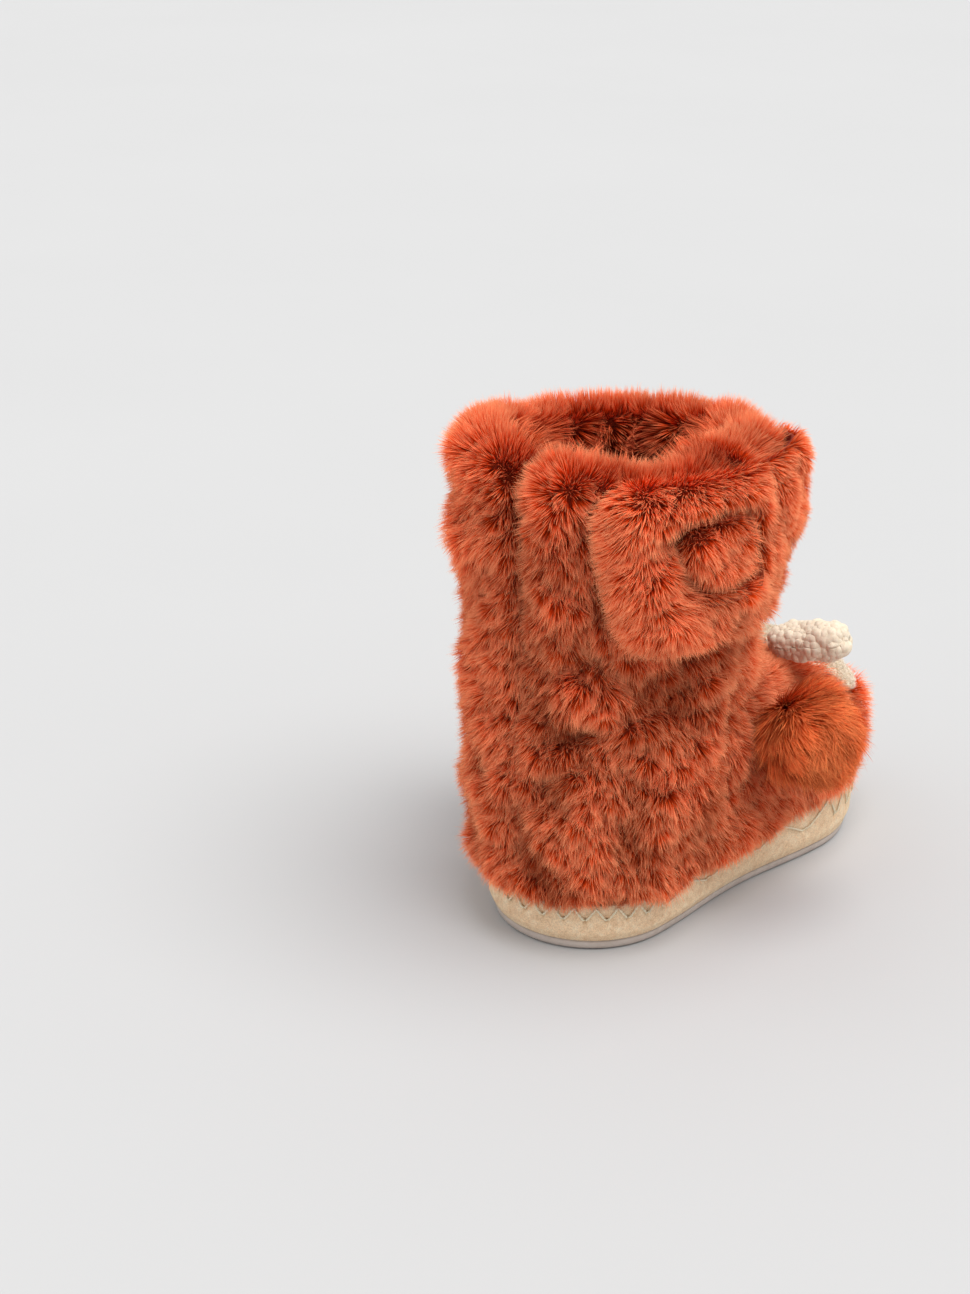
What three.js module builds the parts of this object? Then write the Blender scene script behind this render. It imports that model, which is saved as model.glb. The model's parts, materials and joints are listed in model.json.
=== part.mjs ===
// Plush baby bootie, right foot, in millimetres.
// Z points up, the toe points to -Y and the heel to +Y. The outer (lateral) side of the foot is -X.
// The origin is on the floor, at the middle of the sole.
//
// Every soft layer of the upper follows one "form": a stack of egg-shaped outlines, each the hull of a
// heel circle and a toe circle. A place on the form is a turn (0 at the back seam, 0.25 on the lateral
// side, 0.5 at the toe, 0.75 on the medial side) and a level (0 at the bottom, 1 at the top), and a
// layer lies at a depth outside (+) or inside (-) of it.
import * as THREE from "three";
import { mergeVertices } from "three/addons/utils/BufferGeometryUtils.js";

// Sole
const SOLE_LENGTH = 145;
const SOLE_HEEL_RADIUS = 30;
const SOLE_BALL_RADIUS = 36.5;
const WAIST_PINCH = 2.5;
const OUTSOLE_THICKNESS = 3;
const RAND_THICKNESS = 2.2;
const RAND_HEIGHT_HEEL = 12.5;
const RAND_HEIGHT_TOE = 18;
const MIDSOLE_THICKNESS = 7.5;
const BOARD_THICKNESS = 1.5;
const FOOTBED_THICKNESS = 4.5;

// Upper: how far its outside stands out from the sole, and its heights above the floor
const HEEL_OVERHANG = 7;
const TOE_OVERHANG = 5.5;
const INSTEP_HEIGHT = 60;
const RIM_HEIGHT = 146.5;
const RIM_TILT = 4;
const SHAFT_RADIUS_ANKLE = 41;
const SHAFT_RADIUS_TOP = 45;
const SHAFT_LENGTHENING = 5;
const SHAFT_BACK_INSET = 1.5;

// Layers of the upper
const SHELL_THICKNESS = 7;
const FOOT_LINING_THICKNESS = 3.6;
const WADDING_THICKNESS = 4.4;
const SHAFT_LINING_THICKNESS = 6.5;
const GAP = 0.35;
const SEAM_GAP = 0.6;

// Seams and the slit, as turns
const SIDE_SEAM_TURN = 0.2276;
const SLIT_WIDTH = 2.4;
const SLIT_DEPTH = 56;

// Closure strap
const STRAP_HEIGHT = 46;
const STRAP_BELOW_RIM = 1;
const STRAP_THICKNESS = 5;
const STRAP_ROOT_THICKNESS = 1.6;
const STRAP_ROOT_TURN = 0.455;
const STRAP_END_TURN = 0.082;
const STRAP_CORNER = 10;
const PATCH_THICKNESS = 0.8;
const PATCH_WIDTH = 24;
const PATCH_HEIGHT = 26;
const PATCH_TURN = 0.157;
const STRAP_STITCH_WIDTH = 1.4;

// Face patch, ears and pom-poms
const FACE_THICKNESS = 3;
const FACE_HALF_TURN = 0.155;
const FACE_TOP = 62;
const FACE_BOTTOM = 40;
const EAR_LENGTH = 23.5;
const EAR_RADIUS = 4.8;
const EAR_BASE_RADIUS = 3.4;
const EAR_SKIN = 1.8;
const EAR_TURN = 0.405;
const EAR_HEIGHT = 65;
const EAR_LIFT = 3.4;
const EAR_DIRECTION = [-0.93, -0.28, 0.2];
const POMPOM_RADIUS = 13;
const POMPOM_TURN = 0.24;
const POMPOM_HEIGHT = 53;
const TIE_RADIUS = 1.6;
const TIE_LENGTH = 1.6;

// Rand stitching
const STITCH_THREAD = 1.5;
const STITCH_POINT_HEIGHT = 10.5;
const STITCH_SPACING = 10.5;

// Share of the outline, in turns, that half of the heel arc and one straight side take
const HEEL_ARC = 0.2;
const SIDE = 0.1;

const soleBack = SOLE_LENGTH / 2;
const randBottom = OUTSOLE_THICKNESS + GAP;
const boardBottom = randBottom + MIDSOLE_THICKNESS + GAP;
const footbedBottom = boardBottom + BOARD_THICKNESS + GAP;

// Outlines of the form from the bottom up: height, back, front, heel radius and toe radius.
// The foot rows are set out from the sole and the instep, and the shaft rows from its radii.
const heel = SOLE_HEEL_RADIUS + HEEL_OVERHANG;
const ball = SOLE_BALL_RADIUS;
const toeFront = -soleBack - TOE_OVERHANG;
const upperBack = soleBack + HEEL_OVERHANG;
const ankle = SHAFT_RADIUS_ANKLE;
const shaftBack = upperBack - SHAFT_BACK_INSET;
const shaftMiddle = (INSTEP_HEIGHT + RIM_HEIGHT) / 2;
const instepRun = shaftFront(ankle, 0) - toeFront;
const stations = [
  [12, upperBack - 5.5, toeFront + 5, heel - 5, ball],
  [20, upperBack - 1.5, toeFront, heel - 1.5, ball + 2],
  [INSTEP_HEIGHT - 28, upperBack - 0.5, toeFront + 0.5, heel + 0.5, ball + 1.5],
  [INSTEP_HEIGHT - 16, upperBack, toeFront + 6, heel + 2, ball - 2.5],
  [INSTEP_HEIGHT - 7, upperBack, toeFront + 16, heel + 3, ball - 8.5],
  [INSTEP_HEIGHT - 1, upperBack - 0.5, toeFront + (10 / 23) * instepRun, ankle - 0.5, ball - 13.5],
  [INSTEP_HEIGHT + 4, shaftBack + 0.5, toeFront + (15 / 23) * instepRun, ankle, ball - 9.5],
  [INSTEP_HEIGHT + 12, shaftBack, shaftFront(ankle, 0) - 11, ankle, ankle - 11],
  [INSTEP_HEIGHT + 25, shaftBack - 0.5, shaftFront(ankle, 0) - 1, ankle, ankle - 5],
  [shaftMiddle + 1.75, shaftBack, shaftFront(ankle + 1, 0), ankle + 1, ankle - 1],
  [RIM_HEIGHT - 18, shaftBack + 1.5, shaftFront(SHAFT_RADIUS_TOP - 1, 1.5), SHAFT_RADIUS_TOP - 1,
    SHAFT_RADIUS_TOP - 1],
  [RIM_HEIGHT + 10, shaftBack + 3.5, shaftFront(SHAFT_RADIUS_TOP, 3.5), SHAFT_RADIUS_TOP,
    SHAFT_RADIUS_TOP],
];
const backCurve = new THREE.CatmullRomCurve3(
  stations.map((row) => new THREE.Vector3(row[1], row[3], row[0])), false, "catmullrom");
const frontCurve = new THREE.CatmullRomCurve3(
  stations.map((row) => new THREE.Vector3(row[2], row[4], row[0])), false, "catmullrom");

function shaftFront(radius, lean) {
  return shaftBack + lean - 2 * radius - SHAFT_LENGTHENING;
}

function smooth(low, high, value) {
  const share = Math.min(Math.max((value - low) / (high - low), 0), 1);
  return share * share * (3 - 2 * share);
}

// The point of an egg outline at a turn, and its outward direction. The egg is the hull of a circle at
// the back and one at the front, and pinch draws the middle of its sides in.
function eggPoint(turn, egg, pinch = 0) {
  const whole = turn - Math.floor(turn);
  const side = whole > 0.5 ? 1 : -1;
  const half = whole > 0.5 ? 1 - whole : whole;
  const backCentre = egg.back - egg.backRadius;
  const frontCentre = egg.front + egg.frontRadius;
  const tangent = Math.acos((egg.frontRadius - egg.backRadius) / (backCentre - frontCentre));
  const along = Math.min(Math.max((half - HEEL_ARC) / SIDE, 0), 1);
  const toeArc = 0.5 - HEEL_ARC - SIDE;
  let angle = tangent;
  if (half < HEEL_ARC) angle = (tangent * half) / HEEL_ARC;
  if (half > 0.5 - toeArc) {
    angle = tangent + ((Math.PI - tangent) * (half - 0.5 + toeArc)) / toeArc;
  }
  const radius = egg.backRadius + (egg.frontRadius - egg.backRadius) * along
    - pinch * Math.sin(Math.PI * along) ** 2;
  const centre = backCentre + (frontCentre - backCentre) * along;
  const normal = new THREE.Vector2(side * Math.sin(angle), Math.cos(angle));
  return { point: new THREE.Vector2(0, centre).addScaledVector(normal, radius), normal };
}

function formPoint(turn, level) {
  const back = backCurve.getPoint(level);
  const front = frontCurve.getPoint(level);
  const egg = { back: back.x, backRadius: back.y, front: front.x, frontRadius: front.y };
  const { point } = eggPoint(turn, egg);
  return new THREE.Vector3(point.x, point.y, back.z);
}

// The outward direction is taken across a wide patch of the form, so that it turns slowly and the
// thick layers don't cross where the form bends sharply.
const TURN_REACH = 0.02;
const LEVEL_REACH = 0.07;

function formNormal(turn, level) {
  const low = Math.max(level - LEVEL_REACH, 0);
  const high = Math.min(level + LEVEL_REACH, 1);
  const around = formPoint(turn + TURN_REACH, level).sub(formPoint(turn - TURN_REACH, level));
  const up = formPoint(turn, high).sub(formPoint(turn, low));
  return around.cross(up).normalize();
}

function onForm(turn, level, depth) {
  return formPoint(turn, level).addScaledVector(formNormal(turn, level), depth);
}

// The level at which the form reaches a height. The form's height grows with its level.
function levelAt(height) {
  let low = 0;
  let high = 1;
  for (let step = 0; step < 30; step += 1) {
    const middle = (low + high) / 2;
    if (backCurve.getPoint(middle).z < height) low = middle;
    else high = middle;
  }
  return (low + high) / 2;
}

// How many turns a distance along the form takes at a place.
function turnsFor(distance, turn, level) {
  const step = 0.002;
  return (distance * 2 * step) / formPoint(turn - step, level).distanceTo(formPoint(turn + step, level));
}

// Heights of the edges. The rand and the hem on it rise towards the toe, and the rim dips at the
// medial side of the front.
function hemHeight(y) {
  const rise = smooth(10, -60, y);
  return OUTSOLE_THICKNESS + RAND_HEIGHT_HEEL + (RAND_HEIGHT_TOE - RAND_HEIGHT_HEEL) * rise;
}

function rimHeight(turn) {
  return RIM_HEIGHT + RIM_TILT * Math.cos(2 * Math.PI * (turn - 0.14));
}

const ankleSeam = INSTEP_HEIGHT + 8;
const ankleLevel = levelAt(ankleSeam);

function hemLevel(turn) {
  return levelAt(hemHeight(formPoint(turn, levelAt(OUTSOLE_THICKNESS + RAND_HEIGHT_HEEL)).y) + GAP);
}

function rimLevel(turn) {
  return levelAt(rimHeight(turn));
}

// Rows of a layer, each a function from a turn to a level.
function rowsBetween(lowRow, highRow, shares) {
  return shares.map((share) => (turn) => lowRow(turn) + (highRow(turn) - lowRow(turn)) * share);
}

function evenShares(count) {
  return Array.from({ length: count + 1 }, (_, index) => index / count);
}

// Shares of the height at which every layer has a row, closer together where the form bends.
const footShares = evenShares(11);
const ankleShares = [0, 0.05, 0.1];
const waddingShares = [0.17, 0.27, 0.41, 0.55, 0.69, 0.83, 0.9];
const shaftShares = [...ankleShares, ...waddingShares, 1];
const belowSeam = () => levelAt(ankleSeam - SEAM_GAP / 2);
const aboveSeam = () => levelAt(ankleSeam + SEAM_GAP / 2);

// Turns from one edge to another, on the same even steps for every layer so that layers stay parallel.
const TURN_STEPS = 40;
function turnsBetween(low, high) {
  const inside = [];
  for (let index = Math.ceil(low * TURN_STEPS); index <= Math.floor(high * TURN_STEPS); index += 1) {
    const turn = index / TURN_STEPS;
    if (turn - low > 0.004 && high - turn > 0.004) inside.push(turn);
  }
  return [low, ...inside, high];
}

// Moves every vertex of a closed geometry, and welds it again.
function warp(geometry, place) {
  const position = geometry.getAttribute("position");
  const vertex = new THREE.Vector3();
  for (let index = 0; index < position.count; index += 1) {
    vertex.fromBufferAttribute(position, index);
    const moved = place(vertex);
    position.setXYZ(index, moved.x, moved.y, moved.z);
  }
  return welded(geometry);
}

function welded(geometry) {
  geometry.deleteAttribute("normal");
  geometry.deleteAttribute("uv");
  const merged = mergeVertices(geometry, 1e-4);
  merged.computeVertexNormals();
  return merged;
}

// A box whose opposite faces are cut along the same diagonals, so that neighbours stay parallel.
function slab(width, height, columns, rows) {
  const geometry = new THREE.BoxGeometry(width, height, 1, columns, rows, 1);
  for (const face of [geometry.groups[1], geometry.groups[3], geometry.groups[5]]) {
    for (let at = face.start; at < face.start + face.count; at += 6) {
      const [a, b, d, , c] = geometry.index.array.slice(at, at + 6);
      [a, b, c, a, c, d].forEach((corner, offset) => geometry.index.setX(at + offset, corner));
    }
  }
  return geometry;
}

// A piece of a layer: a closed slab that follows the form between two depths. edge, if given, moves a
// turn to where the piece's own edge lies at that level.
function layer(turns, rows, outerDepth, innerDepth, edge = (turn) => turn) {
  const geometry = slab(1, 1, turns.length - 1, rows.length - 1);
  return warp(geometry, (vertex) => {
    const column = Math.round((vertex.x + 0.5) * (turns.length - 1));
    const row = Math.round((vertex.y + 0.5) * (rows.length - 1));
    const level = rows[row](turns[column]);
    const turn = edge(turns[column], level, column);
    const depth = vertex.z > 0 ? outerDepth : innerDepth;
    return onForm(turn, level, typeof depth === "function" ? depth(turn, level, row) : depth);
  });
}

// A round patch on the form: a square grid squeezed into a rounded outline around a centre.
function patch(centreTurn, centreLevel, halfTurn, halfLevel, steps, roundness, outerDepth, innerDepth) {
  const geometry = slab(2, 2, steps, steps);
  return warp(geometry, ({ x, y, z }) => {
    const across = x * Math.sqrt(1 - (roundness * y * y) / 2);
    const up = y * Math.sqrt(1 - (roundness * x * x) / 2);
    const turn = centreTurn + across * halfTurn;
    return onForm(turn, centreLevel + up * halfLevel, z > 0 ? outerDepth : innerDepth);
  });
}

const group = new THREE.Group();

function add(name, geometry, color, roughness = 0.95, metalness = 0) {
  const material = new THREE.MeshStandardMaterial({ color, roughness, metalness });
  const mesh = new THREE.Mesh(geometry, material);
  mesh.name = name;
  group.add(mesh);
  return mesh;
}

const RUST = 0xb5552f;
const DARK_RUST = 0x8a3a1e;
const CREAM = 0xe9dcc6;
const SUEDE = 0xcdb48c;
const THREAD = 0xefe6d2;
const RUBBER = 0xe8dcd6;

// Sole

function solePoint(turn, inset) {
  const egg = {
    back: soleBack, backRadius: SOLE_HEEL_RADIUS, front: -soleBack, frontRadius: SOLE_BALL_RADIUS,
  };
  const { point, normal } = eggPoint(turn, egg, WAIST_PINCH);
  return point.addScaledVector(normal, -inset);
}

function soleOutline(inset) {
  const points = [];
  for (let index = 0; index < TURN_STEPS; index += 1) points.push(solePoint(index / TURN_STEPS, inset));
  return points;
}

function solePlate(inset, bottom, thickness) {
  const shape = new THREE.Shape(soleOutline(inset));
  const geometry = new THREE.ExtrudeGeometry(shape, { depth: thickness, bevelEnabled: false });
  geometry.translate(0, 0, bottom);
  return welded(geometry);
}

function rand() {
  const shape = new THREE.Shape(soleOutline(0));
  shape.holes.push(new THREE.Path(soleOutline(RAND_THICKNESS)));
  const geometry = new THREE.ExtrudeGeometry(shape, { depth: 1, bevelEnabled: false });
  return warp(geometry, ({ x, y, z }) => new THREE.Vector3(x, y, z > 0.5 ? hemHeight(y) : randBottom));
}

// The footbed lies inside the lining, so its outline is the lining's, a gap further in.
function footbed() {
  const inset = SHELL_THICKNESS + GAP + FOOT_LINING_THICKNESS + GAP;
  const level = levelAt(footbedBottom);
  const points = Array.from({ length: TURN_STEPS }, (_, index) => {
    const place = onForm(index / TURN_STEPS, level, -inset);
    return new THREE.Vector2(place.x, place.y);
  });
  const geometry = new THREE.ExtrudeGeometry(new THREE.Shape(points), {
    depth: FOOTBED_THICKNESS, bevelEnabled: false,
  });
  geometry.translate(0, 0, footbedBottom);
  return welded(geometry);
}

// One thread around the sole, down to a point in the suede and up to the hem, again and again.
function randStitching() {
  const perimeter = new THREE.Path(soleOutline(0)).getLength();
  const points = Math.round(perimeter / STITCH_SPACING);
  const out = -GAP - STITCH_THREAD / 2;
  const path = [];
  for (let index = 0; index < 2 * points; index += 1) {
    const turn = index / (2 * points);
    const flat = solePoint(turn, out);
    const top = hemHeight(flat.y) - STITCH_THREAD / 2 - GAP;
    path.push(new THREE.Vector3(flat.x, flat.y, index % 2 ? top : STITCH_POINT_HEIGHT));
  }
  const radius = STITCH_THREAD / 2;
  const section = new THREE.Shape(
    evenShares(6).slice(0, 6).map((share) => new THREE.Vector2(
      radius * Math.cos(2 * Math.PI * share), radius * Math.sin(2 * Math.PI * share))));
  const curve = new THREE.CatmullRomCurve3(path, true, "centripetal");
  const geometry = new THREE.ExtrudeGeometry(section, { steps: 4 * points, extrudePath: curve });
  return welded(geometry);
}

add("outsole", solePlate(0.6, 0, OUTSOLE_THICKNESS), RUBBER, 0.8);
add("suede_rand", rand(), SUEDE, 1);
add("midsole_foam", solePlate(RAND_THICKNESS + GAP, randBottom, MIDSOLE_THICKNESS), 0xd8d4cc);
add("insole_board", solePlate(RAND_THICKNESS + GAP, boardBottom, BOARD_THICKNESS), 0xb9a88a);
add("footbed", footbed(), DARK_RUST);
add("rand_stitching", randStitching(), THREAD, 0.8);

// Outer panels. A seam edge keeps half a gap to its turn, and above the slit's foot half its width.

function seamHalfWidth(level) {
  const slitFoot = RIM_HEIGHT - SLIT_DEPTH;
  const height = backCurve.getPoint(level).z;
  return (SEAM_GAP + (SLIT_WIDTH - SEAM_GAP) * smooth(slitFoot - 4, slitFoot + 4, height)) / 2;
}

// The turn of a panel's edge beside a seam. side is +1 if the panel lies at higher turns. Only the
// lateral side seam opens into the slit.
function beside(seamTurn, level, side, opens) {
  const half = opens ? seamHalfWidth(level) : SEAM_GAP / 2;
  return seamTurn + side * turnsFor(half, seamTurn, level);
}

function edges(turns, opensLow, opensHigh) {
  return (turn, level, column) => {
    if (column === 0) return beside(turn, level, 1, opensLow);
    if (column === turns.length - 1) return beside(turn, level, -1, opensHigh);
    return turn;
  };
}

function panel(name, lowTurn, highTurn, rows, opensLow, opensHigh) {
  const turns = turnsBetween(lowTurn, highTurn);
  const edge = edges(turns, opensLow, opensHigh);
  add(name, layer(turns, rows, 0, -SHELL_THICKNESS, edge), RUST);
}

const footRows = rowsBetween(hemLevel, belowSeam, footShares);
const shaftRows = rowsBetween(aboveSeam, rimLevel, shaftShares);
const quarterRows = [...footRows, ...shaftRows];
panel("quarter_lateral", 0, SIDE_SEAM_TURN, quarterRows, false, true);
panel("quarter_medial", 1 - SIDE_SEAM_TURN, 1, quarterRows, false, false);
panel("vamp", SIDE_SEAM_TURN, 1 - SIDE_SEAM_TURN, footRows, false, false);
panel("shaft_front", SIDE_SEAM_TURN, 1 - SIDE_SEAM_TURN, shaftRows, true, false);

// Linings and wadding

const footLiningOuter = -SHELL_THICKNESS - GAP;
const shaftLiningInner = footLiningOuter - WADDING_THICKNESS - GAP - SHAFT_LINING_THICKNESS;

const footLiningInner = footLiningOuter - FOOT_LINING_THICKNESS;

function footLining() {
  const rows = [() => levelAt(footbedBottom), ...footRows];
  const turns = turnsBetween(0, 1);
  return layer(turns, rows, footLiningOuter, footLiningInner, edges(turns, false, false));
}

// The inside of the shaft lining goes on from the foot lining and thickens above the ankle.
function shaftLiningDepth(turn, level) {
  const thick = smooth(ankleLevel, levelAt(ankleSeam + 20), level);
  return footLiningInner + (shaftLiningInner - footLiningInner) * thick;
}

// The shaft lining is thin where the wadding lies behind it, and reaches the shell above and below it.
const wallHeight = RIM_HEIGHT - ankleSeam;
const lipShare = GAP / wallHeight;
const lipSlope = 2.2 / wallHeight;
const liningShares = [
  2 * lipShare, ...ankleShares.slice(1), waddingShares[0] - lipShare - lipSlope, waddingShares[0] - lipShare,
  ...waddingShares.slice(1, -1),
  waddingShares.at(-1) + lipShare, waddingShares.at(-1) + lipShare + lipSlope, 1,
];

function shaftLining() {
  const turns = turnsBetween(SIDE_SEAM_TURN, 1 + SIDE_SEAM_TURN);
  const rows = rowsBetween(aboveSeam, rimLevel, liningShares);
  const outer = (turn, level, row) => {
    const thin = row > ankleShares.length && row < rows.length - 2;
    return thin ? footLiningOuter - WADDING_THICKNESS - GAP : footLiningOuter;
  };
  return layer(turns, rows, outer, shaftLiningDepth, edges(turns, true, true));
}

function shaftWadding() {
  const turns = turnsBetween(SIDE_SEAM_TURN, 1 + SIDE_SEAM_TURN);
  const rows = rowsBetween(aboveSeam, rimLevel, waddingShares);
  return layer(turns, rows, footLiningOuter, footLiningOuter - WADDING_THICKNESS,
    edges(turns, true, true));
}

add("foot_lining", footLining(), DARK_RUST);
add("shaft_lining", shaftLining(), DARK_RUST);
add("shaft_wadding", shaftWadding(), 0xf2f0ea);

// Closure strap, sewn to the front of the shaft and lapped back over the slit. The loop patch is on the
// lateral quarter and the hook patch is on the strap.

const loopDepth = GAP;
const hookDepth = loopDepth + PATCH_THICKNESS + GAP;
const strapDepth = hookDepth + PATCH_THICKNESS + GAP;
const strapOutside = strapDepth + STRAP_THICKNESS;
const strapMiddle = RIM_HEIGHT + RIM_TILT - STRAP_BELOW_RIM - STRAP_HEIGHT / 2;
const strapMiddleLevel = levelAt(strapMiddle);
const turnsPerMm = turnsFor(1, PATCH_TURN, strapMiddleLevel);
const strapRootLength = 9 * turnsPerMm;

// Depth of the strap's inside: on the shaft at its root, and clear of the patches towards its end.
function strapInner(turn) {
  const fromRoot = STRAP_ROOT_TURN - turn;
  return GAP + (strapDepth - GAP) * smooth(0, 3 * strapRootLength, fromRoot);
}

function strapOuter(turn) {
  const fromRoot = STRAP_ROOT_TURN - turn;
  const thickness = STRAP_ROOT_THICKNESS
    + (STRAP_THICKNESS - STRAP_ROOT_THICKNESS) * smooth(0, 2 * strapRootLength, fromRoot);
  return strapInner(turn) + thickness;
}

function strapHalfHeight(turn) {
  const fromEnd = (turn - STRAP_END_TURN) / turnsPerMm;
  const short = Math.max(STRAP_CORNER - fromEnd, 0);
  return STRAP_HEIGHT / 2 - STRAP_CORNER + Math.sqrt(STRAP_CORNER ** 2 - short ** 2);
}

function strap() {
  const endTurns = [0.02, 0.1, 0.3, 0.6].map((share) => STRAP_END_TURN + share * STRAP_CORNER * turnsPerMm);
  const turns = [STRAP_END_TURN, ...endTurns,
    ...turnsBetween(STRAP_END_TURN + STRAP_CORNER * turnsPerMm, STRAP_ROOT_TURN)];
  const low = (turn) => levelAt(strapMiddle - strapHalfHeight(turn));
  const high = (turn) => levelAt(strapMiddle + strapHalfHeight(turn));
  return layer(turns, rowsBetween(low, high, evenShares(8)), strapOuter, strapInner);
}

const patchHalfLevel = levelAt(strapMiddle + PATCH_HEIGHT / 2) - strapMiddleLevel;
const patchHalfTurn = (PATCH_WIDTH / 2) * turnsPerMm;

function strapPatch(depth) {
  return patch(PATCH_TURN, strapMiddleLevel, patchHalfTurn, patchHalfLevel, 4, 0.3,
    depth + PATCH_THICKNESS, depth);
}

// The seam that holds the hook patch shows on the strap as a rounded rectangle of thread.
function strapStitching() {
  const steps = 36;
  const half = STRAP_STITCH_WIDTH / 2;
  const ring = new THREE.Shape(evenShares(4).slice(0, 4).map((share) => new THREE.Vector2(
    half * Math.cos(2 * Math.PI * share), half * Math.sin(2 * Math.PI * share))));
  const path = evenShares(steps).slice(0, steps).map((share) => {
    const angle = 2 * Math.PI * share;
    const round = (value) => Math.sign(value) * Math.abs(value) ** 0.5;
    return onForm(PATCH_TURN + patchHalfTurn * round(Math.cos(angle)),
      strapMiddleLevel + patchHalfLevel * round(Math.sin(angle)), strapOutside + GAP + half);
  });
  const curve = new THREE.CatmullRomCurve3(path, true, "centripetal");
  return welded(new THREE.ExtrudeGeometry(ring, { steps, extrudePath: curve }));
}

add("closure_strap", strap(), RUST);
add("quarter_loop_patch", strapPatch(loopDepth), 0x7c3a22);
add("strap_hook_patch", strapPatch(hookDepth), 0x6e3320, 0.7);
add("strap_stitching", strapStitching(), 0x9c4322);

// Face patch

const faceTop = levelAt(FACE_TOP);
const faceBottom = levelAt(FACE_BOTTOM);
add("face_patch", patch(0.5, (faceTop + faceBottom) / 2, FACE_HALF_TURN, (faceTop - faceBottom) / 2,
  10, 0.85, GAP + FACE_THICKNESS, GAP), CREAM);

// Ears: a stuffed roll of sherpa on each side, sewn on at the top of the vamp. The skin is a cup that is
// open at its base, and the stuffing fills it.

function earProfile(inset, baseInset) {
  const base = EAR_BASE_RADIUS - inset;
  const wide = EAR_RADIUS - inset;
  const tip = EAR_LENGTH - inset;
  const shoulder = EAR_LENGTH - EAR_RADIUS;
  const points = [new THREE.Vector2(base, baseInset), new THREE.Vector2(wide, EAR_LENGTH * 0.45),
    new THREE.Vector2(wide, shoulder)];
  for (let step = 1; step <= 4; step += 1) {
    const angle = (step / 4) * (Math.PI / 2);
    const x = step === 4 ? 0 : wide * Math.cos(angle);
    points.push(new THREE.Vector2(x, shoulder + (tip - shoulder) * Math.sin(angle)));
  }
  return points;
}

function earSkin() {
  const outside = earProfile(0, 0);
  const inside = earProfile(EAR_SKIN, 0).reverse();
  return welded(new THREE.LatheGeometry([...inside, ...outside], 14));
}

function earStuffing() {
  const outside = earProfile(EAR_SKIN + GAP, GAP);
  return welded(new THREE.LatheGeometry([new THREE.Vector2(0, GAP), ...outside], 14));
}

const earLevel = levelAt(EAR_HEIGHT);

function placeEar(mesh, side) {
  const turn = side < 0 ? EAR_TURN : 1 - EAR_TURN;
  const direction = new THREE.Vector3(...EAR_DIRECTION).normalize();
  direction.x *= -side;
  mesh.position.copy(onForm(turn, earLevel, EAR_LIFT));
  mesh.quaternion.setFromUnitVectors(new THREE.Vector3(0, 1, 0), direction);
}

// Pom-poms: a ball of long yarn on each side of the ankle, on a short thread tie.

const pompomLevel = levelAt(POMPOM_HEIGHT);

function placeOnSide(mesh, side, depth) {
  const turn = side < 0 ? POMPOM_TURN : 1 - POMPOM_TURN;
  mesh.position.copy(onForm(turn, pompomLevel, depth));
  mesh.quaternion.setFromUnitVectors(new THREE.Vector3(0, 1, 0), formNormal(turn, pompomLevel));
}

for (const [side, label] of [[-1, "lateral"], [1, "medial"]]) {
  placeEar(add(`ear_${label}`, earSkin(), CREAM), side);
  placeEar(add(`ear_stuffing_${label}`, earStuffing(), 0xf4f2ee), side);
  const tie = welded(new THREE.CylinderGeometry(TIE_RADIUS, TIE_RADIUS, TIE_LENGTH, 10));
  placeOnSide(add(`pompom_tie_${label}`, tie, DARK_RUST), side, GAP + TIE_LENGTH / 2);
  const ball = welded(new THREE.SphereGeometry(POMPOM_RADIUS, 16, 12));
  placeOnSide(add(`pompom_${label}`, ball, RUST), side, 2 * GAP + TIE_LENGTH + POMPOM_RADIUS);
}

export default group;
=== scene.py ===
"""Plush baby bootie, right foot, in the CAD's own frame.

The CAD's soft solids give way to sewn plush: each panel gets a backing that follows the bootie's form,
and a pile of fine tapered blades that grows from it. Lengths are in millimetres until a mesh is made.
"""
import json
import math

import bpy
import numpy as np
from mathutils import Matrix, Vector


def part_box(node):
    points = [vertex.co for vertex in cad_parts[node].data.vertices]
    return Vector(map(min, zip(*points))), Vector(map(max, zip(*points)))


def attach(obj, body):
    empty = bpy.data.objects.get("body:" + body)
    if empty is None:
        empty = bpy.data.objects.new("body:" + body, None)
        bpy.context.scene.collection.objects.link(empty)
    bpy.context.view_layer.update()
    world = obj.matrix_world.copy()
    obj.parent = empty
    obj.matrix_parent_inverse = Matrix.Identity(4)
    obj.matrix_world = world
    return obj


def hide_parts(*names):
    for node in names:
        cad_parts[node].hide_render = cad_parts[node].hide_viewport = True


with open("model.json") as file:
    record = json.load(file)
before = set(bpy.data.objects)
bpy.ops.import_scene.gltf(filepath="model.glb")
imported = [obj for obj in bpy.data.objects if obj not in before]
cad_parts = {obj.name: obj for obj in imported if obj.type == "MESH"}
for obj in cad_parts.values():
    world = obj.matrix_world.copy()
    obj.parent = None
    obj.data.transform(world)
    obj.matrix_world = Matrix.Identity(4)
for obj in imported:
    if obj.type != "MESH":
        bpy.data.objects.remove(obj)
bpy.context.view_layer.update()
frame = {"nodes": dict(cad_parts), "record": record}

MM = 0.001
BODIES = frame["record"]["behaviour"]["bodies"]

# The UV map that the exporter keeps. The UV map in which pile keeps its tone and its place
# from root to tip.
UV_NAME = "OFBake"


# ---------------------------------------------------------------- the bootie's form

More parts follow.
